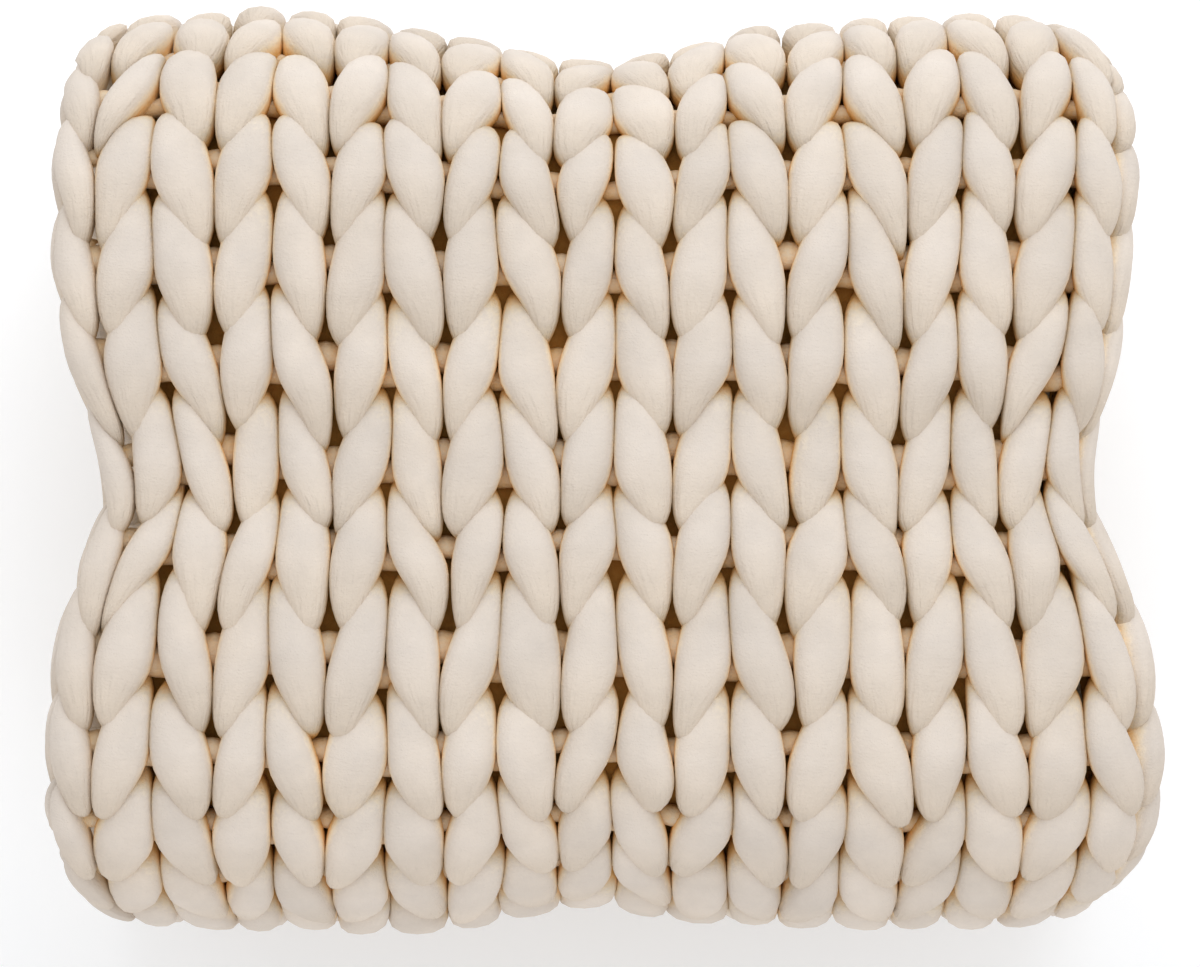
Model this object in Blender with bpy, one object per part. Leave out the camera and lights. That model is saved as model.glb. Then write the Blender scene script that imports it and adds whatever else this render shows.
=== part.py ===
# A chunky hand-knitted weighted blanket, folded into a thick bundle that lies on its back.
#
# The sheet is folded in thirds across its stitch columns, which makes a strip of three plies, and
# the strip is then folded in thirds along them. A section of the strip, one back-and-forth ribbon,
# is carried along the strip's path: the back flap on the floor, the bottom bend, the front layer,
# the top bend and the middle flap inside.
#
# Metres, +Z up. +X runs across the stitch columns and +Y up the face. The origin is at the bottom
# centre of the bundle's box.

import math
from collections import namedtuple

import bmesh
import bpy

NAME = "knit_blanket"

# Yarn and stitches
PLY = 0.029               # thickness of one ply, which is one stuffed yarn and its loops
WALE = 0.0565             # width of a stitch: two legs side by side
LEG = WALE / 2
COURSE = 0.0458           # height of a stitch
FIRST_WALE = -0.245       # where the first V of the face stands, by the left selvedge
FIRST_TIP = 0.0136        # height on the face of the V tips just above its middle
LEG_RISE = 0.040          # how far the crease under a leg climbs from the V to the leg's far side
FULLEST = 0.38            # where a leg is fullest, as a share of the course above its crease
COLUMNS_PER_LEG = 3

# Relief of the knit face, measured down from the top of the legs
VALLEY_DEPTH = 0.009      # between two legs
CREASE_DEPTH = 0.008      # where a leg lies on the next one below
HOLE_DEPTH = 0.016        # at the tip of a V and under the top of a stitch
PURL_DEPTH = 0.005        # between the bumps of the purl side, on the left rolls
SCALLOP = 0.005           # between the loops of a selvedge

# The folded bundle
HALF_WIDTH = 0.2695
HALF_LENGTH = 0.235
PLY_GAP = 0.0015
LAYER_GAP = 0.003
INNER_CORNER = 0.018      # inner radius of the two corners of the bottom bend
LOWER_EDGE_INSET = 0.018  # how far the third panel's selvedge stays back from the right edge
BACK_END = 0.215          # where the back flap ends, on the floor
MIDDLE_END = 0.131        # where the middle flap ends, inside the bottom bend

STRIP = 3 * PLY + 2 * PLY_GAP
ROLL_RADIUS = (PLY + PLY_GAP) / 2            # middle line of a side roll
ROLL_OUTSIDE = PLY + PLY_GAP / 2
ROLL_START = HALF_WIDTH - ROLL_OUTSIDE
LOWER_EDGE = HALF_WIDTH - LOWER_EDGE_INSET

ROLL_LENGTH = math.pi * ROLL_RADIUS
RIGHT_ROLL = HALF_WIDTH + ROLL_START         # ways along the ply's middle line, from the near edge
PANEL_TWO = RIGHT_ROLL + ROLL_LENGTH
LEFT_ROLL = PANEL_TWO + 2 * ROLL_START
PANEL_THREE = LEFT_ROLL + ROLL_LENGTH
FAR_EDGE = PANEL_THREE + ROLL_START + LOWER_EDGE

TOP_OUTSIDE = STRIP + LAYER_GAP / 2          # outer radius of the top bend
TOP_START = HALF_LENGTH - TOP_OUTSIDE
TOP_RUN = math.pi * TOP_OUTSIDE
BOTTOM_OUTSIDE = STRIP + INNER_CORNER
BOTTOM_START = HALF_LENGTH - BOTTOM_OUTSIDE
BOTTOM_STRAIGHT = STRIP + 2 * LAYER_GAP - 2 * INNER_CORNER
BOTTOM_RUN = math.pi * BOTTOM_OUTSIDE + BOTTOM_STRAIGHT

BACK_Z = STRIP                               # inner side of the back flap, and so on upwards
MIDDLE_Z = 2 * STRIP + LAYER_GAP
FRONT_Z = 2 * STRIP + 2 * LAYER_GAP

STRIP_FOOT = -(BOTTOM_START + BOTTOM_RUN + BOTTOM_START + BACK_END)
FLOOR_START = -(BOTTOM_START + BOTTOM_RUN)
INSIDE_START = TOP_START + TOP_RUN
STRIP_HEAD = INSIDE_START + TOP_START + MIDDLE_END

# The free ends, the selvedges and the flat sides
END_STEPS = ((0.0, 0.35), (0.004, 0.78), (0.013, 1.0))      # way in from the end, share of thickness
EDGE_STEPS = ((0.0, 0.5), (0.0085, 1.0))                    # way in from the selvedge, same
FLAT_COLUMNS = (-0.12, 0.0, 0.12)
INNER_ROLL_STEPS = 2
PURL_ROLL_STEPS = 7
LEAN_FADE = 0.045         # way over which the leaning of the stitches dies out at a free end
LEVEL = 0.999999          # a face whose normal is nearer upright than this lies level

# How the bundle is drawn in at its waists and filled out between them
Pull = namedtuple("Pull", "axis side centre spread out")
PULLS = (
    Pull("x", -1, -0.006, 0.035, -0.024),
    Pull("x", +1, -0.006, 0.036, -0.021),
    Pull("x", +1, -0.140, 0.075, +0.007),
    Pull("y", +1, 0.000, 0.040, -0.025),
    Pull("y", -1, 0.000, 0.036, -0.012),
)
PULL_POWER = 3            # a pull dies out towards the middle with this power of the distance
CORNER_ROUNDING = 0.045
CORNER_POWER = 8

# Soft troughs across the top face, in line with the waists
TROUGH_DEPTH = 0.008
TROUGH_SPREAD = 0.030
TROUGH_FROM = FRONT_Z + 0.045
TROUGH_TO = FRONT_Z + 0.080

YARN_COLOUR = (0.80, 0.70, 0.57, 1.0)
YARN_ROUGHNESS = 0.95

# thick is the side of the ply's middle line, from +1 on the knit side to -1 on the purl side, and
# across is the way over the knit face, or 0 where a column isn't on it.
Column = namedtuple("Column", "kind along thick across")
Station = namedtuple("Station", "v crease plump")


def smooth(t):
    t = min(max(t, 0.0), 1.0)
    return t * t * (3.0 - 2.0 * t)


def bell(t):
    return math.exp(-0.5 * t * t)


def strip_line(v):
    """The strip's inner side (y, z) and the way out from it (y, z). v is the way up the knit face."""
    if v > INSIDE_START:
        return TOP_START - (v - INSIDE_START), MIDDLE_Z, 0.0, -1.0
    if v > TOP_START:
        angle = (v - TOP_START) / TOP_OUTSIDE
        out_y, out_z = math.sin(angle), math.cos(angle)
        centre_z = (MIDDLE_Z + FRONT_Z) / 2
        return TOP_START + LAYER_GAP / 2 * out_y, centre_z + LAYER_GAP / 2 * out_z, out_y, out_z
    if v > -BOTTOM_START:
        return v, FRONT_Z, 0.0, 1.0
    run = -BOTTOM_START - v
    corner = math.pi / 2 * BOTTOM_OUTSIDE
    if run >= BOTTOM_RUN:
        return -BOTTOM_START + (run - BOTTOM_RUN), BACK_Z, 0.0, -1.0
    if run < corner:
        angle, centre_z = run / BOTTOM_OUTSIDE, FRONT_Z - INNER_CORNER
    elif run < corner + BOTTOM_STRAIGHT:
        angle, centre_z = math.pi / 2, FRONT_Z - INNER_CORNER - (run - corner)
    else:
        angle, centre_z = (run - BOTTOM_STRAIGHT) / BOTTOM_OUTSIDE, BACK_Z + INNER_CORNER
    out_y, out_z = -math.sin(angle), math.cos(angle)
    return -BOTTOM_START + INNER_CORNER * out_y, centre_z + INNER_CORNER * out_z, out_y, out_z


def ply_line(along):
    """The folded ply's middle line (x, height) and the way out to its knit side (x, height)."""
    top, middle, low = STRIP - PLY / 2, STRIP / 2, PLY / 2
    if along < RIGHT_ROLL:
        return along - HALF_WIDTH, top, 0.0, 1.0
    if along < PANEL_TWO:
        angle = (along - RIGHT_ROLL) / ROLL_RADIUS
        out_x, out_h = math.sin(angle), math.cos(angle)
        return ROLL_START + ROLL_RADIUS * out_x, (top + middle) / 2 + ROLL_RADIUS * out_h, out_x, out_h
    if along < LEFT_ROLL:
        return ROLL_START + PANEL_TWO - along, middle, 0.0, -1.0
    if along < PANEL_THREE:
        angle = (along - LEFT_ROLL) / ROLL_RADIUS
        in_x, in_h = -math.sin(angle), math.cos(angle)
        return -ROLL_START + ROLL_RADIUS * in_x, (middle + low) / 2 + ROLL_RADIUS * in_h, -in_x, -in_h
    return along - PANEL_THREE - ROLL_START, low, 0.0, 1.0


def knit_columns():
    """Columns over the knit side of the outer panel and its roll, three to a leg."""
    step = LEG / COLUMNS_PER_LEG
    roll_end = ROLL_START + math.pi * ROLL_OUTSIDE
    across = FIRST_WALE - step
    columns = []
    while across < roll_end:
        along = across + HALF_WIDTH
        if across > ROLL_START:
            along = RIGHT_ROLL + (across - ROLL_START) * ROLL_RADIUS / ROLL_OUTSIDE
        columns.append(Column("knit", along, 1.0, across))
        across += step
    return columns


def section_columns():
    """The columns of the strip's section, once around the ribbon that it makes."""
    def plain(along, thick, kind="plain"):
        return Column(kind, along, thick, 0.0)

    columns = [plain(inset, share, "near edge") for inset, share in EDGE_STEPS]
    columns += knit_columns()
    columns += [plain(PANEL_TWO + ROLL_START - x, 1.0) for x in (ROLL_START, *reversed(FLAT_COLUMNS))]
    for step in range(INNER_ROLL_STEPS + 1):
        columns.append(plain(LEFT_ROLL + ROLL_LENGTH * step / INNER_ROLL_STEPS, 1.0))
    columns += [plain(PANEL_THREE + ROLL_START + x, 1.0) for x in FLAT_COLUMNS]
    columns += [plain(FAR_EDGE - inset, share, "far edge") for inset, share in reversed(EDGE_STEPS)]
    columns += [plain(FAR_EDGE - inset, -share, "far edge") for inset, share in EDGE_STEPS]
    columns += [plain(PANEL_THREE + ROLL_START + x, -1.0) for x in reversed(FLAT_COLUMNS)]
    for step in range(PURL_ROLL_STEPS + 1):
        columns.append(plain(PANEL_THREE - ROLL_LENGTH * step / PURL_ROLL_STEPS, -1.0, "purl"))
    columns += [plain(PANEL_TWO + ROLL_START - x, -1.0) for x in FLAT_COLUMNS]
    for step in range(INNER_ROLL_STEPS + 1):
        columns.append(plain(PANEL_TWO - ROLL_LENGTH * step / INNER_ROLL_STEPS, -1.0))
    columns += [plain(HALF_WIDTH + x, -1.0) for x in reversed(FLAT_COLUMNS)]
    columns += [plain(inset, -share, "near edge") for inset, share in reversed(EDGE_STEPS)]
    return columns


def strip_stations():
    """Stations along the strip: a rounded free end, a crease and a belly for each course, an end."""
    stations = [Station(STRIP_FOOT + inset, 0.0, share) for inset, share in END_STEPS]
    clear = END_STEPS[-1][0] + COURSE / 4
    crease = FIRST_TIP + LEG_RISE / 2
    crease -= math.floor((crease - STRIP_FOOT) / COURSE) * COURSE
    while crease < STRIP_HEAD:
        for v, depth in ((crease, 1.0), (crease + FULLEST * COURSE, 0.0)):
            if STRIP_FOOT + clear < v < STRIP_HEAD - clear:
                stations.append(Station(v, depth, 1.0))
        crease += COURSE
    stations += [Station(STRIP_HEAD - inset, 0.0, share) for inset, share in reversed(END_STEPS)]
    return stations


def from_v(across):
    """0 on the centre line of a V, 1 on the centre line of a stitch, half a wale away."""
    return 2 * abs(((across - FIRST_WALE) / WALE + 0.5) % 1.0 - 0.5)


def on_roll(across):
    """0 on the flat of the outer panel, 1 where its roll goes under."""
    return max(0.0, (across - ROLL_START) / (math.pi * ROLL_OUTSIDE))


def in_sight(across, v):
    """1 on the front, the bends and the rolls, 0 where a flap lies flat on the floor or inside."""
    showing = smooth((v - FLOOR_START) / COURSE) * smooth((INSIDE_START - v) / COURSE)
    return max(showing, smooth(6 * on_roll(across)))


def lean(across, v):
    """How far a stitch column's point is moved up the strip, so that the creases lie aslant."""
    to_end = min(v - STRIP_FOOT, STRIP_HEAD - v)
    share = smooth(to_end / LEAN_FADE) * smooth(3 * (1 - on_roll(across))) * in_sight(across, v)
    return LEG_RISE * (from_v(across) - 0.5) * share


def knit_depth(across, v, crease):
    """How far a point of the knit side lies under the top of the legs."""
    valley = min(from_v(across), 1 - from_v(across)) < 0.5 / COLUMNS_PER_LEG
    deep = HOLE_DEPTH if valley else CREASE_DEPTH
    shallow = VALLEY_DEPTH if valley else 0.0
    depth = shallow + (deep - shallow) * crease
    return depth * in_sight(across, v) * smooth(5 * (1 - on_roll(across)))


def drawn_in(x, y):
    """The waists, the fuller corner and the rounded corners, the same at every height."""
    a, b = abs(x) / HALF_WIDTH, abs(y) / HALF_LENGTH
    shift = {"x": -x * CORNER_ROUNDING * a * a * b ** CORNER_POWER,
             "y": -y * CORNER_ROUNDING * b * b * a ** CORNER_POWER}
    for pull in PULLS:
        own, other, share = (x, y, a) if pull.axis == "x" else (y, x, b)
        if own * pull.side > 0:
            near = bell((other - pull.centre) / pull.spread)
            shift[pull.axis] += pull.side * pull.out * share ** PULL_POWER * near
    return x + shift["x"], y + shift["y"]


def place(column, station):
    """The point of one column at one station."""
    v, along, depth = station.v, column.along, 0.0
    if column.kind == "knit":
        v += lean(column.across, v)
        depth = knit_depth(column.across, v, station.crease)
    elif column.kind == "purl":
        turn = math.pi * (along - LEFT_ROLL) / ROLL_LENGTH
        depth = PURL_DEPTH * station.crease * smooth(2 * math.sin(turn))
    elif column.kind == "near edge":
        along += SCALLOP * station.crease
    elif column.kind == "far edge":
        along -= SCALLOP * station.crease
    x, height, out_x, out_h = ply_line(along)
    reach = column.thick * (PLY / 2 * station.plump - depth)
    x, height = x + out_x * reach, height + out_h * reach
    y, z, out_y, out_z = strip_line(v)
    y, z = y + height * out_y, z + height * out_z
    if column.kind in ("knit", "near edge") and column.thick > 0:
        trough = max(bell(x / TROUGH_SPREAD), bell(y / TROUGH_SPREAD))
        z -= TROUGH_DEPTH * trough * smooth((z - TROUGH_FROM) / (TROUGH_TO - TROUGH_FROM))
    return (*drawn_in(x, y), z)


def knit_mesh():
    """The section, extruded from station to station and closed at both ends."""
    columns, stations = section_columns(), strip_stations()
    bm = bmesh.new()
    number = bm.verts.layers.int.new("column")
    verts = []
    for index, column in enumerate(columns):
        vert = bm.verts.new(place(column, stations[0]))
        vert[number] = index
        verts.append(vert)
    edges = [bm.edges.new((vert, verts[index - 1])) for index, vert in enumerate(verts)]
    bmesh.ops.contextual_create(bm, geom=edges)
    for station in stations[1:]:
        extruded = bmesh.ops.extrude_edge_only(bm, edges=edges)["geom"]
        edges = [item for item in extruded if isinstance(item, bmesh.types.BMEdge)]
        for item in extruded:
            if isinstance(item, bmesh.types.BMVert):
                item.co = place(columns[item[number]], station)
    bmesh.ops.contextual_create(bm, geom=edges)
    return bm


def finish_mesh(bm):
    """Centre the bundle on its box, merge what is flat, and turn the faces out."""
    for axis in (0, 1):
        places = [vert.co[axis] for vert in bm.verts]
        middle = (min(places) + max(places)) / 2
        for vert in bm.verts:
            vert.co[axis] -= middle
    bm.normal_update()
    flat = [face for face in bm.faces if abs(face.normal.z) > LEVEL]
    bmesh.ops.dissolve_faces(bm, faces=flat, use_verts=True)
    bmesh.ops.triangulate(bm, faces=bm.faces)
    bmesh.ops.recalc_face_normals(bm, faces=bm.faces)
    mesh = bpy.data.meshes.new(NAME)
    bm.to_mesh(mesh)
    bm.free()
    return mesh


def yarn_material():
    material = bpy.data.materials.new("cream_plush_yarn")
    material.use_nodes = True
    shader = material.node_tree.nodes["Principled BSDF"]
    shader.inputs["Base Color"].default_value = YARN_COLOUR
    shader.inputs["Roughness"].default_value = YARN_ROUGHNESS
    shader.inputs["Metallic"].default_value = 0.0
    return material


def build():
    for item in list(bpy.data.objects):
        bpy.data.objects.remove(item)
    parts = bpy.data.collections.new("folded_weighted_blanket")
    bpy.context.scene.collection.children.link(parts)
    mesh = finish_mesh(knit_mesh())
    mesh.materials.append(yarn_material())
    mesh.shade_smooth()
    mesh.set_sharp_from_angle(angle=math.radians(60))
    parts.objects.link(bpy.data.objects.new(NAME, mesh))


build()
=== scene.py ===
import math
import random

import bmesh
import bpy
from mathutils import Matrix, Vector, noise


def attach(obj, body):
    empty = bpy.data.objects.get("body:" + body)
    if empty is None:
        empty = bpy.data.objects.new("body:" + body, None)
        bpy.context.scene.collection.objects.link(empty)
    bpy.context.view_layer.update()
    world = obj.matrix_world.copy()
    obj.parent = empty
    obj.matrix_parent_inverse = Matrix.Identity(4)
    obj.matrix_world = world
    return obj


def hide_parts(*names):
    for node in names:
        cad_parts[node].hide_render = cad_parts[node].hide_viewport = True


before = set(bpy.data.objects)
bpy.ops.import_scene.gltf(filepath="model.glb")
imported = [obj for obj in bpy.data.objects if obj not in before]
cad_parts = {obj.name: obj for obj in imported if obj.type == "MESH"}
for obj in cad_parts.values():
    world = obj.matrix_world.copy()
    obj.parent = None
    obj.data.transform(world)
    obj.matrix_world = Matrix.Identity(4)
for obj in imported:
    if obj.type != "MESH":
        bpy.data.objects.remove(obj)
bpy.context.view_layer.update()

seed = 11
chance = random.Random(seed)
noise.seed_set(seed)                         # the clock would seed noise_vector otherwise

# how the sheet lies in the bundle: thirds across the stitch columns, then thirds along them (metres)
fold = {
    "ply": 0.029,
    "plyGap": 0.0015,
    "layerGap": 0.003,
    "halfWidth": 0.2695,
    "halfLength": 0.235,
    "innerCorner": 0.018,
    "lowerEdgeInset": 0.018,
    "backEnd": 0.215,
    "middleEnd": 0.131,
    "centre": (0.003244, -0.000037),     # middle of the box before the bundle is centred
    "curlTurn": 3.3,                     # how far a selvedge turns under at most, in radians
    "curlCore": 0.001,                   # and how near it comes to the ply's middle
    "rollDepth": 0.013,                  # how far in a yarn reaches where the cloth rolls
    "troughDepth": 0.008,
    "troughSpread": 0.030,
    "troughFrom": 0.045,                 # height over the front layer where a trough begins
    "troughFade": 0.035,
    "cornerRounding": 0.045,
    "cornerPower": 8,
    "pullPower": 3,
    # waists and full corners: side of the box, where along it, how wide, how far out
    "pulls": (("x", -1, -0.006, 0.035, -0.024), ("x", -1, -0.180, 0.045, 0.005),
              ("x", 1, -0.006, 0.040, -0.024), ("x", 1, 0.080, 0.040, -0.004),
              ("x", 1, -0.160, 0.075, 0.012),
              ("y", 1, 0.0, 0.040, -0.024), ("y", 1, -0.080, 0.030, -0.008),
              ("y", 1, 0.085, 0.055, -0.007), ("y", -1, 0.0, 0.036, -0.012)),
}
ply, gap, layerGap = fold["ply"], fold["plyGap"], fold["layerGap"]
halfWidth, halfLength = fold["halfWidth"], fold["halfLength"]
strip = 3 * ply + 2 * gap
rollRadius, rollOutside = (ply + gap) / 2, ply + gap / 2
rollStart = halfWidth - rollOutside
rollArc = math.pi * rollOutside              # way around the outside of a side roll
lowerEdge = halfWidth - fold["lowerEdgeInset"]
curlStart = halfWidth - ply / 2              # where a selvedge starts to curl under
topMiddle, midMiddle, lowMiddle = strip - ply / 2, strip / 2, ply / 2

topOutside = strip + layerGap / 2
topStart = halfLength - topOutside
bottomOutside = strip + fold["innerCorner"]
bottomStart = halfLength - bottomOutside
bottomStraight = strip + 2 * layerGap - 2 * fold["innerCorner"]
bottomRun = math.pi * bottomOutside + bottomStraight
backZ, middleZ, frontZ = strip, 2 * strip + layerGap, 2 * strip + 2 * layerGap
insideStart = topStart + math.pi * topOutside
stripFoot = -(bottomStart + bottomRun + bottomStart + fold["backEnd"])
stripHead = insideStart + topStart + fold["middleEnd"]


def smooth(t):
    t = min(max(t, 0.0), 1.0)
    return t * t * (3.0 - 2.0 * t)


def bell(t):
    return math.exp(-0.5 * t * t)


def stripLine(v):
    # inner side of the strip and the way out from it, for a way v up the knit face
    if v > insideStart:
        return topStart - (v - insideStart), middleZ, 0.0, -1.0
    if v > topStart:
        angle = (v - topStart) / topOutside
        outY, outZ = math.sin(angle), math.cos(angle)
        half = layerGap / 2
        return topStart + half * outY, (middleZ + frontZ) / 2 + half * outZ, outY, outZ
    if v > -bottomStart:
        return v, frontZ, 0.0, 1.0
    run, corner, inner = -bottomStart - v, math.pi / 2 * bottomOutside, fold["innerCorner"]
    if run >= bottomRun:
        return -bottomStart + (run - bottomRun), backZ, 0.0, -1.0
    if run < corner:
        angle, centreZ = run / bottomOutside, frontZ - inner
    elif run < corner + bottomStraight:
        angle, centreZ = math.pi / 2, frontZ - inner - (run - corner)
    else:
        angle, centreZ = (run - bottomStraight) / bottomOutside, backZ + inner
    outY, outZ = -math.sin(angle), math.cos(angle)
    return -bottomStart + inner * outY, centreZ + inner * outZ, outY, outZ


def curled(across, up, side):
    # a selvedge turns under around the ply's middle; side is the sign of x there
    angle = min((-curlStart - across) / (ply / 2), fold["curlTurn"])
    up = max(up, fold["curlCore"])
    return side * up * math.sin(angle), up * math.cos(angle)


def onFace(across, up):
    # outer panel, its left selvedge and its roll on the right, as a point of the strip's section
    if across < -curlStart:
        x, h = curled(across, up, -1)
        return -curlStart + x, topMiddle + h
    if across < rollStart:
        return across, topMiddle + up
    up = max(up, -fold["rollDepth"])
    angle = (across - rollStart) / rollOutside
    if angle < math.pi:
        reach = rollRadius + up
        return rollStart + reach * math.sin(angle), (topMiddle + midMiddle) / 2 + reach * math.cos(angle)
    return rollStart - (across - rollStart - rollArc), midMiddle - up


def onLowEdge(across, up):
    # right selvedge of the third panel, measured in from it as the outer panel's is on the left
    if across < -curlStart:
        x, h = curled(across, up, 1)
        return lowerEdge - ply / 2 + x, lowMiddle + h
    return lowerEdge - (across + halfWidth), lowMiddle + up


def onLowFace(across, up):
    # purl side of the third panel, on the inside of the folded strip
    return across, lowMiddle - up


def onPurlRoll(around, up):
    # left roll, with the purl side out, and the plies next to it
    middle, reach = (midMiddle + lowMiddle) / 2, rollRadius + max(up, -fold["rollDepth"])
    if around < 0:
        return -rollStart - around, middle + reach
    if around > rollArc:
        return -rollStart + around - rollArc, middle - reach
    angle = around / rollOutside
    return -rollStart - reach * math.sin(angle), middle + reach * math.cos(angle)


def drawnIn(x, y):
    # waists, the fuller corners and the rounded corners
    a, b = abs(x) / halfWidth, abs(y) / halfLength
    power, rounding = fold["cornerPower"], fold["cornerRounding"]
    dx, dy = -x * rounding * a * a * b ** power, -y * rounding * b * b * a ** power
    for axis, side, middle, spread, out in fold["pulls"]:
        if axis == "x" and x * side > 0:
            dx += side * out * a ** fold["pullPower"] * bell((y - middle) / spread)
        if axis == "y" and y * side > 0:
            dy += side * out * b ** fold["pullPower"] * bell((x - middle) / spread)
    return x + dx - fold["centre"][0], y + dy - fold["centre"][1]


def bundlePoint(x, height, v):
    y, z, outY, outZ = stripLine(v)
    y, z = y + outY * height, z + outZ * height
    trough = max(bell(x / fold["troughSpread"]), bell(y / fold["troughSpread"]))
    z -= fold["troughDepth"] * trough * smooth((z - frontZ - fold["troughFrom"]) / fold["troughFade"])
    x, y = drawnIn(x, y)
    return x, y, max(z, 0.0)                 # flat where it lies on the floor


# one knitted stitch: two leaning legs, the arc over it and the arc beside it (mostly millimetres)
stitch = {
    "wale": 56.5,
    "course": 45.8,
    "firstWale": -216.75,                    # centre line of the first whole stitch of the face
    "firstCourse": 4.3,
    # down the leg, in level cuts: way across, way up, height in the ply; half width, half thickness
    "leg": ((7.5, 40, -13, 1, 1.5), (7.6, 37.5, -9, 3.1, 5), (7.8, 34.5, -5.5, 5.1, 8.2),
            (8, 30, -2.6, 7.6, 10.8), (8.6, 24, -0.6, 10.4, 12.2), (9.9, 16, 1, 12.5, 12.7),
            (11.4, 8, 2, 13.8, 12.8), (12.8, 2, 2.4, 14.7, 12.8), (14.6, -4, 2.8, 14.9, 12.8),
            (16.6, -10.5, 2.8, 13.5, 12.6), (18.6, -17, 2.5, 11.6, 12.3), (20, -24, 2.2, 9.4, 11.9),
            (20.3, -30, 1.8, 6.8, 11.2), (20.2, -34.5, 0.6, 4.5, 9.6), (20.1, -38, -3, 2.7, 6),
            (20.1, -40.5, -7, 0.8, 1.5)),
    # along the arc: way across, way up, height in the ply; half width, half thickness
    "headArc": ((-15, -9, -13, 2, 2), (-9, -5, -8, 5, 5), (0, -2.4, -4, 7, 6.6),
                (9, -5, -8, 5, 5), (15, -9, -13, 2, 2)),
    "sideArc": ((12.2, 0, -13, 2, 2), (18.6, 3.2, -7.5, 6, 5.5), (28.25, 4.8, -3.4, 7.2, 7),
                (37.8, 3.2, -7.5, 6, 5.5), (44.2, 0, -13, 2, 2)),
    # along a purl bump: way across, way up, height; half width, half thickness
    "purlArc": ((-47, -7, -14, 4, 4), (-36, -3.5, -3, 11, 10), (-16, 1.5, 2.5, 13, 11.6),
                (0, 2.5, 3.4, 13.3, 11.8), (16, 1.5, 2.5, 13, 11.6), (36, -3.5, -3, 11, 10),
                (47, -7, -14, 4, 4)),
    # along a loop of a free edge: way across, way up, height; half width, half thickness
    "edgeArc": ((-34, 4, -9, 2.5, 3), (-26, 0, -5, 9, 8.5), (0, -3, 1, 12, 12.5),
                (26, 0, 5.5, 9, 8.5), (34, 4, 9, 2.5, 3)),
    # the courses aren't quite even: a way up the face and how far the cloth is shifted there
    "shifts": ((-330, 0), (-240, -9), (-193, -10), (-149, -10), (-103, -5), (-50, 4), (-5, -1), (40, 2),
               (90, 5), (137, 9), (180, 10), (220, 9), (330, 0)),
    "girth": 0.0115,                         # metres of pile to a radian around the yarn
    "roundness": 4,                          # power of the section's outline, before it is smoothed
    "fuller": 1.1,                           # what smoothing takes from a section
    "press": 0.1,                            # how far a leg swells past its neighbour's line
}
wale, course = stitch["wale"], stitch["course"]

# how the yarns differ from one another (millimetres, where nothing else is said)
unevenness = {
    "fatter": 0.065,                         # in width, as a share of it
    "thicker": 0.6,                          # and in thickness, as a share of the one in width
    "astray": (0.6, 1.7, 0.7),               # from its place across, up the face and out of it
    "turn": 0.05,                            # from its neighbours' lean, in radians
    "seeds": 40,
    "wander": 2.2,                           # slow drift of the whole cloth
    "wanderGrain": 9,                        # waves to a metre
    "wanderLayer": 3.7,
    "ripple": 4.2,                           # how far the columns' lines waver from course to course
    "rippleGrain": (23, 21),
    "rippleLayer": 9.1,
    "lift": 0.5,                             # how much of it goes in and out of the ply
    "puff": 1.1,                             # soft lumps in one yarn
    "puffGrain": 55,
}

# how deep a point lies, from 0 on a yarn's crown to 1 on the ply's floor, as the plush reads it for its
# painted shade
shading = {
    "crown": 15,                             # height over the ply's middle, and the way down to 1
    "wayDown": 27,
    "leftEdge": -0.215,                      # beyond it the left selvedge's underside stays pale
    "leftFrom": -4,
    "leftFade": 6,
    "leftPaler": 0.65,
    # painted shade on the purl roll's yarns where they lie under the face ply
    "purlUnder": 0.34,                       # the purl roll's yarns below the face
    "purlFrom": 0.010,
    "purlFade": 0.02,
}


def shares(rows):
    # a path's rows, with the share of its length in front
    ways = [0.0]
    for a, b in zip(rows, rows[1:]):
        ways.append(ways[-1] + (Vector(b[:3]) - Vector(a[:3])).length)
    return [(way / ways[-1], *row) for way, row in zip(ways, rows)], ways[-1]


def along(rows, t):
    # smooth curve through a path's rows
    i = 0
    while i < len(rows) - 2 and t > rows[i + 1][0]:
        i += 1
    before, a, b, after = rows[max(i - 1, 0)], rows[i], rows[i + 1], rows[min(i + 2, len(rows) - 1)]
    span = b[0] - a[0]
    f = (t - a[0]) / span
    values = []
    for c in range(1, len(a)):
        slopeA = (b[c] - before[c]) / (b[0] - before[0]) * span
        slopeB = (after[c] - a[c]) / (after[0] - a[0]) * span
        values.append((2 * f**3 - 3 * f * f + 1) * a[c] + (f**3 - 2 * f * f + f) * slopeA
                      + (3 * f * f - 2 * f**3) * b[c] + (f**3 - f * f) * slopeB)
    return values


def courseShift(v):
    # v and the shift in metres
    table = stitch["shifts"]
    for (low, a), (high, b) in zip(table, table[1:]):
        if low < v * 1000 <= high:
            return (a + (b - a) * smooth((v * 1000 - low) / (high - low))) * 0.001
    return 0.0


def wavered(a, v):
    # how far the cloth strays from even lines there (millimetres)
    slow, (across, up) = unevenness["wanderGrain"], unevenness["rippleGrain"]
    drift = noise.noise_vector(Vector((a * slow, v * slow, unevenness["wanderLayer"])))
    drift *= unevenness["wander"]
    ripple = noise.noise_vector(Vector((a * across, v * up, unevenness["rippleLayer"])))
    return drift + ripple * unevenness["ripple"]


def shadeAt(a, up, shade, place):
    # painted shade: darker the deeper the point lies in the cloth
    deep = min(max((shading["crown"] - up) / shading["wayDown"], 0.0), 1.0) * shade
    if place is onFace and a < shading["leftEdge"]:
        deep *= 1 - shading["leftPaler"] * smooth((shading["leftFrom"] - up) / shading["leftFade"])
    if place is onPurlRoll:
        deep = max(deep, smooth((shading["purlFrom"] - a) / shading["purlFade"]) * shading["purlUnder"])
    return deep


def pressed(x, low, high):
    if x < low:
        return low + (x - low) * stitch["press"]
    if x > high:
        return high + (x - high) * stitch["press"]
    return x


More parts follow.
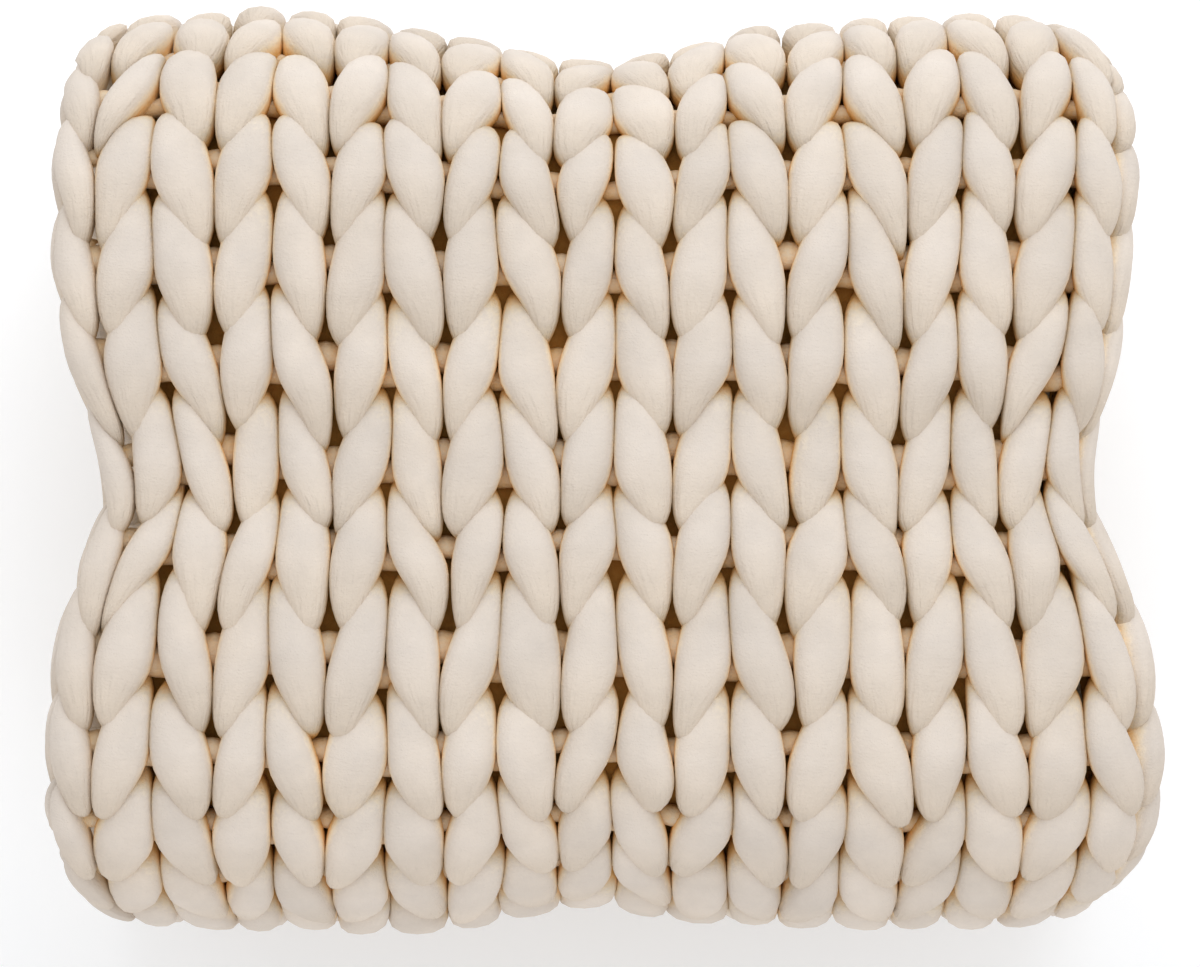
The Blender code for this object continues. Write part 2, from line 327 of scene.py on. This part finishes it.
def podMesh(name, rows, sides, rings, level=False):
    # one stuffed length of yarn, drawn out ring by ring, in stitch coordinates
    rows, length = shares(rows)
    nearby = 0.02                                # share of the path to each side that gives its direction
    if level:
        rows = [((rows[0][2] - row[2]) / (rows[0][2] - rows[-1][2]), *row[1:]) for row in rows]
    bm = bmesh.new()
    middle = bm.verts.layers.float_vector.new("middle")
    pile = bm.verts.layers.float_vector.new("pile")
    bmesh.ops.create_circle(bm, cap_ends=True, segments=sides, radius=1.0)
    ringVerts, edges = bm.verts[:], bm.edges[:]
    rounds = [vert.co.copy() for vert in ringVerts]
    for ring in range(rings + 1):
        if ring:
            grown = bmesh.ops.extrude_edge_only(bm, edges=edges)["geom"]
            edges = [item for item in grown if isinstance(item, bmesh.types.BMEdge)]
            fresh = [item for item in grown if isinstance(item, bmesh.types.BMVert)]
            ringVerts = sorted(fresh, key=lambda vert: vert.index)
        t = 0.5 - 0.5 * math.cos(math.pi * ring / rings)
        t = 0.5 * t + 0.5 * ring / rings         # the rings lie closer towards the ends
        centre = along(rows, t)
        side, up = Vector((1, 0, 0)), Vector((0, 0, 1))
        if not level:
            before, after = along(rows, max(t - nearby, 0.0)), along(rows, min(t + nearby, 1.0))
            way = (Vector(after[:3]) - Vector(before[:3])).normalized()
            side = way.cross(Vector((0, 0, 1))).normalized()
            up = side.cross(way).normalized()
        for vert, spot in zip(ringVerts, rounds):
            power = stitch["roundness"]
            reach = (abs(spot.x) ** power + abs(spot.y) ** power) ** (-1 / power) * stitch["fuller"]
            wide, thick = side * centre[3] * reach * spot.x, up * centre[4] * reach * spot.y
            vert.co = Vector(centre[:3]) + wide + thick
            vert[middle] = centre[:3]
            vert[pile] = (math.atan2(spot.x, spot.y) * stitch["girth"], t * length * 0.001, 0.0)
    bmesh.ops.holes_fill(bm, edges=edges, sides=0)
    bmesh.ops.recalc_face_normals(bm, faces=bm.faces)
    mesh = bpy.data.meshes.new(name)
    bm.to_mesh(mesh)
    bm.free()
    return mesh


def knitPiece(name, jobs, material):
    # every job lays one pod in the cloth: its mesh, mirrored or not, centre line, course, place, shade
    bm = bmesh.new()
    middle = bm.verts.layers.float_vector.new("middle")
    pile = bm.verts.layers.float_vector.new("pile")
    shadeDepth = bm.verts.layers.float.new("shadeDepth")
    lumps = unevenness["puffGrain"]
    for pod, mirror, column, row, place, shade in jobs:
        first = len(bm.verts)
        bm.from_mesh(pod)
        bm.verts.ensure_lookup_table()
        fat = 1 + chance.gauss(0, unevenness["fatter"])
        thick = 1 + chance.gauss(0, unevenness["fatter"] * unevenness["thicker"])
        shift = Vector([chance.gauss(0, spread) for spread in unevenness["astray"]])
        turn = chance.gauss(0, unevenness["turn"])
        own = chance.uniform(0, unevenness["seeds"])
        for vert in bm.verts[first:]:
            spot, core = vert.co, Vector(vert[middle])
            off = spot - core
            local = core + Vector((off.x * fat, off.y * fat, off.z * thick)) + shift
            local.x += turn * local.y
            if pod is leg:
                local.x = pressed(local.x, 0, wale / 2)
            a = (column + (-local.x if mirror else local.x)) * 0.001
            v = (row + local.y) * 0.001
            up = local.z
            drift = wavered(a, v)
            puff = noise.noise(Vector((a * lumps, v * lumps, own))) * unevenness["puff"]
            up += drift.z * unevenness["lift"] + puff
            a, v = a + drift.x * 0.001, v + drift.y * 0.001 + courseShift(v)
            # stores the painted shade that the plush reads
            vert[shadeDepth] = shadeAt(a, up, shade, place)
            vert[pile] = Vector((vert[pile][0], vert[pile][1], own))
            x, height = place(a, up * 0.001)
            vert.co = bundlePoint(x, height, v)
    bm.verts.layers.float_vector.remove(middle)
    finishPiece(name, bm, material)


def finishPiece(name, bm, material):
    bmesh.ops.recalc_face_normals(bm, faces=bm.faces)
    mesh = bpy.data.meshes.new(name)
    bm.to_mesh(mesh)
    bm.free()
    mesh.shade_smooth()
    mesh.materials.append(material)
    piece = bpy.data.objects.new(name, mesh)
    bpy.context.scene.collection.objects.link(piece)
    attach(piece, "root")
    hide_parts("knit_blanket")
    rounding = piece.modifiers.new("rounding", "SUBSURF")
    rounding.levels = rounding.render_levels = 1
    print(name, len(mesh.polygons), "faces")


# cream plush yarn: short dense pile, with painted shade, warmer and darker, where the yarns press
# together
plush = {
    # share of the depth in the ply, colour: the yarn's cream on the crown, painted highlight on the
    # flanks, then painted shade, darker and warmer, down to the ply's floor
    "colourAndShade": ((0.0, (0.68, 0.604, 0.535, 1)), (0.12, (0.705, 0.622, 0.542, 1)),
              (0.20, (0.79, 0.69, 0.57, 1)), (0.27, (0.86, 0.73, 0.555, 1)),
              (0.36, (0.90, 0.69, 0.445, 1)), (0.47, (0.92, 0.61, 0.28, 1)),
              (0.62, (0.80, 0.48, 0.15, 1)), (0.80, (0.68, 0.35, 0.085, 1)),
              (1.0, (0.54, 0.23, 0.035, 1))),
    "ragged": 0.05,                          # how far the tones' edges fray
    "raggedGrain": 420,
    "brushed": 0.07,                         # how much lighter or darker the pile lies in patches
    "brushedGrain": 42,
    "whim": 0.038,                           # and from one leg to the next
    "endShade": 0.32,                        # how dark the flanks are at the two ends of a leg
    "head": (0.006, 0.036),                  # along the leg: shade to none, and none to shade (metres)
    "tail": (0.056, 0.078),
    "flank": (0.08, 0.26),                   # depths between which that shade sets in
    "crownShare": 0.15,                      # how much of it the crown gets
    "warmth": 0.35,
    "warmTint": (1.0, 0.955, 0.88, 1),
    "stainGrain": 16,
    "stain": (0.45, 0.75),
    "tuck": (0.046, 0.064),                  # along the leg: where it starts to pinch, and where most
    # along the leg: where the painted warm shade at the lower end starts, where it is full, and how
    # strong
    "tuckShadeTint": (0.040, 0.072, 0.8),
    "roughness": 0.92,
    "specular": 0.2,
    "sheen": 0.03,
    "sheenRoughness": 0.4,
    "sheenTint": (1.0, 0.86, 0.68, 1),
    # pattern, strength and depth in metres of the relief
    "streaks": ((330, 760, 1), 0.3, 0.0010),
    "grain": (1100, 0.45, 0.0008),
    "pinches": ((420, 60, 1), 0.6, 0.0018),
}


def plushMaterial():
    material = bpy.data.materials.new("cream plush")
    material.use_nodes = True
    nodes, links = material.node_tree.nodes, material.node_tree.links
    shader = nodes["Principled BSDF"]
    shader.inputs["Roughness"].default_value = plush["roughness"]
    shader.inputs["Specular IOR Level"].default_value = plush["specular"]
    shader.inputs["Sheen Weight"].default_value = plush["sheen"]
    shader.inputs["Sheen Roughness"].default_value = plush["sheenRoughness"]
    shader.inputs["Sheen Tint"].default_value = plush["sheenTint"]

    def add(kind, x, y, **values):
        node = nodes.new(kind)
        node.location = (x, y)
        for key, value in values.items():
            setattr(node, key, value)
        return node

    def noiseNode(x, y, scale, detail, vector, squeeze=None):
        if squeeze:
            mapping = add("ShaderNodeMapping", x - 200, y)
            mapping.inputs["Scale"].default_value = squeeze
            links.new(vector, mapping.inputs["Vector"])
            vector = mapping.outputs["Vector"]
        node = add("ShaderNodeTexNoise", x, y)
        node.inputs["Scale"].default_value = scale
        node.inputs["Detail"].default_value = detail
        links.new(vector, node.inputs["Vector"])
        return node.outputs["Fac"]

    def bump(x, y, height, strength, distance, before=None):
        node = add("ShaderNodeBump", x, y)
        node.inputs["Strength"].default_value = strength
        node.inputs["Distance"].default_value = distance
        links.new(height, node.inputs["Height"])
        if before:
            links.new(before, node.inputs["Normal"])
        return node.outputs["Normal"]

    def mapRange(x, y, value, low, high, toLow, toHigh):
        node = add("ShaderNodeMapRange", x, y)
        for key, number in zip(("From Min", "From Max", "To Min", "To Max"), (low, high, toLow, toHigh)):
            node.inputs[key].default_value = number
        links.new(value, node.inputs["Value"])
        return node.outputs["Result"]

    def math2(x, y, operation, first, second):
        node = add("ShaderNodeMath", x, y, operation=operation)
        links.new(first, node.inputs[0])
        links.new(second, node.inputs[1])
        return node.outputs["Value"]

    def around(x, y, value, spread, middle=1):
        # a noise, mostly between a quarter and three quarters, spread evenly around a middle value
        return mapRange(x, y, value, 0.25, 0.75, middle - spread, middle + spread)

    # this attribute carries painted shade: 0 on a yarn's crown, up to 1 in the creases and holes between
    # the yarns
    shadeDepth = add("ShaderNodeAttribute", -1400, 300, attribute_name="shadeDepth").outputs["Fac"]
    pile = add("ShaderNodeAttribute", -1400, -100, attribute_name="pile").outputs["Vector"]
    where = add("ShaderNodeTexCoord", -1400, -400).outputs["Object"]
    way = add("ShaderNodeSeparateXYZ", -1150, -560)      # along the leg in Y, a number of its own in Z
    links.new(pile, way.inputs["Vector"])

    # colour and painted shade by depth in the ply, a little ragged so that the shaded creases look furry
    fray = noiseNode(-1150, 450, plush["raggedGrain"], 3, where)
    shade = math2(-750, 350, "ADD", shadeDepth, around(-950, 450, fray, plush["ragged"], 0))
    colourAndShade = add("ShaderNodeValToRGB", -550, 350)
    ramp = colourAndShade.color_ramp
    for place, colour in plush["colourAndShade"][1:-1]:
        ramp.elements.new(place)
    for stop, (place, colour) in zip(ramp.elements, plush["colourAndShade"]):
        stop.position, stop.color = place, colour
    links.new(shade, colourAndShade.inputs["Fac"])

    # patches brushed lighter and darker, and each leg a little lighter or darker than the next
    patch = noiseNode(-950, 150, plush["brushedGrain"], 4, where)
    brushed = around(-750, 150, patch, plush["brushed"])
    whim = add("ShaderNodeTexWhiteNoise", -950, 620, noise_dimensions="1D")
    links.new(way.outputs["Z"], whim.inputs["W"])
    ownTone = mapRange(-750, 620, whim.outputs["Value"], 0, 1, 1 - plush["whim"], 1 + plush["whim"])

    # the flanks at a leg's two ends lie in the shade of the legs above and below
    head = mapRange(-950, 760, way.outputs["Y"], *plush["head"], plush["endShade"], 0)
    tail = mapRange(-950, 900, way.outputs["Y"], *plush["tail"], 0, plush["endShade"])
    ends = math2(-750, 830, "MAXIMUM", head, tail)
    flank = mapRange(-750, 960, shadeDepth, *plush["flank"], plush["crownShare"], 1)
    endTone = mapRange(-450, 830, math2(-600, 830, "MULTIPLY", ends, flank), 0, 1, 1, 0)

    tone = math2(-450, 150, "MULTIPLY", math2(-600, 150, "MULTIPLY", brushed, ownTone), endTone)
    toned = add("ShaderNodeVectorMath", -250, 300, operation="SCALE")
    links.new(colourAndShade.outputs["Color"], toned.inputs[0])
    links.new(tone, toned.inputs["Scale"])

    # a warmer tint here and there, and painted warm shade at the lower end of a leg, where it tucks in
    stain = noiseNode(-950, -20, plush["stainGrain"], 3, where)
    stained = mapRange(-750, -20, stain, *plush["stain"], 0, plush["warmth"])
    tuckFrom, tuckTo, tuckMost = plush["tuckShadeTint"]
    tuckShadeTint = mapRange(-750, -560, way.outputs["Y"], tuckFrom, tuckTo, 0, tuckMost)
    warm = add("ShaderNodeMix", -50, 250, data_type="RGBA", blend_type="MULTIPLY")
    warm.inputs["B"].default_value = plush["warmTint"]
    links.new(math2(-250, 0, "MAXIMUM", stained, tuckShadeTint), warm.inputs["Factor"])
    links.new(toned.outputs["Vector"], warm.inputs["A"])
    links.new(warm.outputs["Result"], shader.inputs["Base Color"])

    # the pile lies in short streaks around the yarn, over a fine grain
    squeeze, strength, deep = plush["streaks"]
    normal = bump(-350, -200, noiseNode(-750, -200, 1, 3, pile, squeeze), strength, deep)
    scale, strength, deep = plush["grain"]
    normal = bump(-350, -380, noiseNode(-750, -380, scale, 2, where), strength, deep, normal)

    # pinched wrinkles at the tucks
    squeeze, strength, deep = plush["pinches"]
    tuck = mapRange(-950, -560, way.outputs["Y"], *plush["tuck"], 0, 1)
    pinches = math2(-550, -620, "MULTIPLY", tuck, noiseNode(-750, -740, 1, 2, pile, squeeze))
    normal = bump(-350, -620, pinches, strength, deep, normal)
    links.new(normal, shader.inputs["Normal"])
    return material


yarn = plushMaterial()
leg = podMesh("leg", stitch["leg"], sides=8, rings=9, level=True)
headArc = podMesh("head arc", stitch["headArc"], sides=6, rings=4)
sideArc = podMesh("side arc", stitch["sideArc"], sides=6, rings=4)
purlArc = podMesh("purl arc", stitch["purlArc"], sides=8, rings=5)
edgeArc = podMesh("edge arc", stitch["edgeArc"], sides=8, rings=5)
print("yarn lengths ready")


# where the pieces of the knit face begin and end, and how strongly their creases are shaded
parts = {
    "columns": range(-1, 12),                # the first is the left selvedge, the last ones the roll
    "flapColumns": (-1, 8, 9, 10, 11),       # what can be seen of the inner flap, by its two sides
    "edgeColumns": (-1, 0),
    "footRow": 0.046,                        # no course's middle is nearer to the cast-on edge
    "headRow": 0.03,                         # or to the bound-off edge (metres)
    "topReach": 0.05,                        # how far the top bend's piece goes on inside
    "legShade": 1.0,
    "arcShade": 0.7,
    "selvedgeShade": 0.5,
    "topLegShade": 0.75,
    "topArcShade": 0.5,
    "lowEdgeShade": 0.4,
}


def courses(low, high):
    # courses whose middle lies between two ways up the strip
    first = math.ceil((low * 1000 - stitch["firstCourse"]) / course)
    last = math.ceil((high * 1000 - stitch["firstCourse"]) / course)
    return [stitch["firstCourse"] + course * k for k in range(first, last)]


def columnLine(k):
    return stitch["firstWale"] + wale * k


def legJobs(rows, columns=parts["columns"], shade=parts["legShade"], place=onFace):
    jobs = []
    for row in rows:
        for k in columns:
            ownShade = parts["selvedgeShade"] if k < 0 and place is onFace else shade
            for mirror in (True, False):
                jobs.append((leg, mirror, columnLine(k), row, place, ownShade))
    return jobs


def arcJobs(rows, columns=parts["columns"], shade=parts["arcShade"]):
    jobs = []
    for row in rows:
        for k in columns:
            for arc in (headArc, sideArc):
                jobs.append((arc, False, columnLine(k), row, onFace, shade))
    return jobs


footRow, headRow = stripFoot + parts["footRow"], stripHead - parts["headRow"]
bendEnd, topEnd = -bottomStart - bottomRun, insideStart + parts["topReach"]
backRows = courses(footRow, bendEnd)
bendRows = courses(bendEnd, -halfLength)
frontRows = courses(-halfLength, halfLength)
topRows = courses(halfLength, topEnd)
flapRows = courses(topEnd, headRow)
allRows = courses(footRow, headRow)

topLegs = legJobs(topRows, shade=parts["topLegShade"])
topArcs = arcJobs(topRows, shade=parts["topArcShade"])
flapLegs = legJobs(flapRows, parts["flapColumns"])
flapArcs = arcJobs(flapRows, parts["flapColumns"])
knitPiece("front_knit", legJobs(frontRows), yarn)
knitPiece("front_loops", arcJobs(frontRows), yarn)
knitPiece("top_bend_knit", topLegs + topArcs, yarn)
knitPiece("bottom_bend_knit", legJobs(bendRows) + arcJobs(bendRows), yarn)
knitPiece("back_knit", legJobs(backRows) + arcJobs(backRows), yarn)
knitPiece("inner_flap_knit", flapLegs + flapArcs, yarn)
lowEdgeLegs = legJobs(allRows, parts["edgeColumns"], parts["lowEdgeShade"], onLowEdge)
knitPiece("third_panel_selvedge", lowEdgeLegs, yarn)

# purl bumps, every second line of them half a course further up (millimetres)
purl = {
    "aroundFirst": 4,                        # around the left roll to its first line of bumps
    "aroundLines": 3,
    "acrossLeft": -188,                      # and across the third panel's inside, from its two sides
    "acrossRight": 172,
    "acrossLines": 2,
    "rollShade": 0.7,
    "insideShade": 0.5,
}

purlJobs = []
for row in allRows:
    for offset, up in ((0, 0), (-wale / 2, course / 2)):
        for k in range(purl["aroundLines"]):
            line = purl["aroundFirst"] + wale * k + offset
            purlJobs.append((purlArc, False, line, row + up, onPurlRoll, purl["rollShade"]))
# inside the bottom bend the purl side of the third panel shows near both sides
for row in courses(bendEnd, -bottomStart):
    for first, inwards in ((purl["acrossLeft"], 1), (purl["acrossRight"], -1)):
        for k in range(purl["acrossLines"]):
            line = first + inwards * wale * k
            between = line + inwards * wale / 2
            purlJobs.append((purlArc, False, line, row, onLowFace, purl["insideShade"]))
            purlJobs.append((purlArc, False, between, row + course / 2, onLowFace, purl["insideShade"]))
knitPiece("purl_roll", purlJobs, yarn)


def onFreeEdge(across, up):
    # a free edge runs along all three plies: panel one, its roll, panel two, the left roll, three
    total = across
    if total < halfWidth + rollStart:
        return total - halfWidth, topMiddle + up
    total -= halfWidth + rollStart
    if total < math.pi * rollRadius:
        angle, reach = total / rollRadius, rollRadius + max(up, -fold["rollDepth"])
        return rollStart + reach * math.sin(angle), (topMiddle + midMiddle) / 2 + reach * math.cos(angle)
    total -= math.pi * rollRadius
    if total < 2 * rollStart:
        return rollStart - total, midMiddle - up
    total -= 2 * rollStart
    if total < math.pi * rollRadius:
        angle, reach = total / rollRadius, rollRadius - min(up, fold["rollDepth"])
        return -rollStart - reach * math.sin(angle), (midMiddle + lowMiddle) / 2 + reach * math.cos(angle)
    total -= math.pi * rollRadius
    return -rollStart + total, lowMiddle + up


# the loops along the two free edges (millimetres)
edging = {
    "ends": 33,                              # from a corner to the first loop's middle
    "loop": 0.75,                            # length of a loop, as a share of a stitch
    "inset": 13.5,
    "shade": 0.2,
}

edgeJobs = []
edgeLength = (halfWidth + rollStart + 2 * math.pi * rollRadius + 3 * rollStart + lowerEdge) * 1000
edgeRun = edgeLength - 2 * edging["ends"]
loops = round(edgeRun / (wale * edging["loop"]))
for k in range(loops):
    across = edging["ends"] + edgeRun * k / (loops - 1)
    for edge in (stripFoot * 1000 + edging["inset"], stripHead * 1000 - edging["inset"]):
        edgeJobs.append((edgeArc, False, across, edge, onFreeEdge, edging["shade"]))
knitPiece("cast_on_and_bound_off_edges", edgeJobs, yarn)


# the plies inside, seen as warm shade between the yarns and as the plain purl side between the folds
core = {
    "outerInset": 0.024,                     # in from the strip's faces and sides (metres)
    "innerInset": 0.006,
    "sideInset": 0.032,
    "ends": 0.030,
    "sides": 60,
    "squareness": 6,                         # power of the section's outline
    "step": 0.02,
    "outerShade": 0.9,
    "innerShade": 0.32,
    "shadeWidth": 0.8,                       # how much of the width the outer shade takes
}


def coreMesh():
    bm = bmesh.new()
    shadeDepth = bm.verts.layers.float.new("shadeDepth")
    bmesh.ops.create_circle(bm, cap_ends=True, segments=core["sides"], radius=1.0)
    outline = []
    power = core["squareness"]
    for vert in bm.verts:
        reach = (abs(vert.co.x) ** power + abs(vert.co.y) ** power) ** (-1 / power)
        outer = vert.co.y > 0
        inset = core["outerInset"] if outer else core["innerInset"]
        # painted shade: dark on the outer face, seen through the holes between the yarns, paler on the
        # inner face and the sides
        shaded = outer and abs(vert.co.x) < core["shadeWidth"]
        shade = core["outerShade"] if shaded else core["innerShade"]
        outline.append((vert.co.x * reach * (halfWidth - core["sideInset"]),
                        strip / 2 + vert.co.y * reach * (strip / 2 - inset), shade))
    low, high = stripFoot + core["ends"], stripHead - core["ends"]
    steps = math.ceil((high - low) / core["step"])
    ringVerts, edges = bm.verts[:], bm.edges[:]
    for k in range(steps + 1):
        if k:
            grown = bmesh.ops.extrude_edge_only(bm, edges=edges)["geom"]
            edges = [item for item in grown if isinstance(item, bmesh.types.BMEdge)]
            fresh = [item for item in grown if isinstance(item, bmesh.types.BMVert)]
            ringVerts = sorted(fresh, key=lambda vert: vert.index)
        for vert, (x, height, shade) in zip(ringVerts, outline):
            vert.co = bundlePoint(x, height, low + (high - low) * k / steps)
            vert[shadeDepth] = shade if 0 < k < steps else core["innerShade"]
    bmesh.ops.holes_fill(bm, edges=edges, sides=0)
    return bm


finishPiece("inner_plies", coreMesh(), yarn)


# pale floor, soft light from above the top edge, and the camera straight above
studio = {
    "floor": (0.965, 0.975, 0.99, 1),
    "floorSize": 6.0,
    "floorRoughness": 0.8,
    # painted light: the floor glows, least below the bundle's lower edge, which leaves a painted shadow
    # there, and most beside the bundle
    "glowFade": (-0.32, -0.12),              # along Y, from below the bundle's lower edge to beside it
    "floorGlow": (0.02, 0.12),
    "world": 0.872,
    # name, place, size, power, colour
    "lamps": (("key", (0.25, 1.4, 1.4), 1.7, 16.5, (0.90, 0.95, 1.0)),
              ("fill", (0.1, -1.6, 1.3), 1.2, 3, (1, 1, 1))),
    "lampAim": (0, 0, 0.15),
    "cameraPlace": (-0.0015, -0.0056, 2.076),
    "lens": 110.9,
    "clip": (0.1, 20),
}


def floorMaterial():
    material = bpy.data.materials.new("pale floor")
    material.use_nodes = True
    nodes, links = material.node_tree.nodes, material.node_tree.links
    shader = nodes["Principled BSDF"]
    shader.inputs["Base Color"].default_value = studio["floor"]
    shader.inputs["Roughness"].default_value = studio["floorRoughness"]
    # painted light: the floor glows by its place along Y, dimmer below the bundle's lower edge as a
    # painted shadow
    shader.inputs["Emission Color"].default_value = (1, 1, 1, 1)
    where, axes = nodes.new("ShaderNodeTexCoord"), nodes.new("ShaderNodeSeparateXYZ")
    glow = nodes.new("ShaderNodeMapRange")
    glow.interpolation_type = "SMOOTHSTEP"
    glow.inputs["From Min"].default_value, glow.inputs["From Max"].default_value = studio["glowFade"]
    glow.inputs["To Min"].default_value, glow.inputs["To Max"].default_value = studio["floorGlow"]
    links.new(where.outputs["Object"], axes.inputs["Vector"])
    links.new(axes.outputs["Y"], glow.inputs["Value"])
    links.new(glow.outputs["Result"], shader.inputs["Emission Strength"])
    return material


def addFloor():
    bm = bmesh.new()
    bmesh.ops.create_grid(bm, x_segments=1, y_segments=1, size=studio["floorSize"])
    mesh = bpy.data.meshes.new("floor")
    bm.to_mesh(mesh)
    bm.free()
    mesh.materials.append(floorMaterial())
    floor = bpy.data.objects.new("floor", mesh)
    bpy.context.scene.collection.objects.link(floor)


def addLamp(name, place, size, power, colour):
    lamp = bpy.data.lights.new(name, "AREA")
    lamp.size, lamp.energy, lamp.color = size, power, colour
    holder = bpy.data.objects.new(name, lamp)
    holder.location = place
    away = Vector(place) - Vector(studio["lampAim"])
    holder.rotation_euler = away.to_track_quat("Z", "Y").to_euler()
    bpy.context.scene.collection.objects.link(holder)


def addCamera():
    camera = bpy.data.cameras.new("camera")
    camera.lens = studio["lens"]
    camera.clip_start, camera.clip_end = studio["clip"]
    holder = bpy.data.objects.new("camera", camera)
    holder.location = studio["cameraPlace"]
    bpy.context.scene.collection.objects.link(holder)
    bpy.context.scene.camera = holder


addFloor()
world = bpy.data.worlds.new("studio")
bpy.context.scene.world = world
world.use_nodes = True
world.node_tree.nodes["Background"].inputs["Color"].default_value = (1, 1, 1, 1)
world.node_tree.nodes["Background"].inputs["Strength"].default_value = studio["world"]
for lamp in studio["lamps"]:
    addLamp(*lamp)
addCamera()
print("studio ready")

bpy.context.scene.view_settings.view_transform = "Standard"
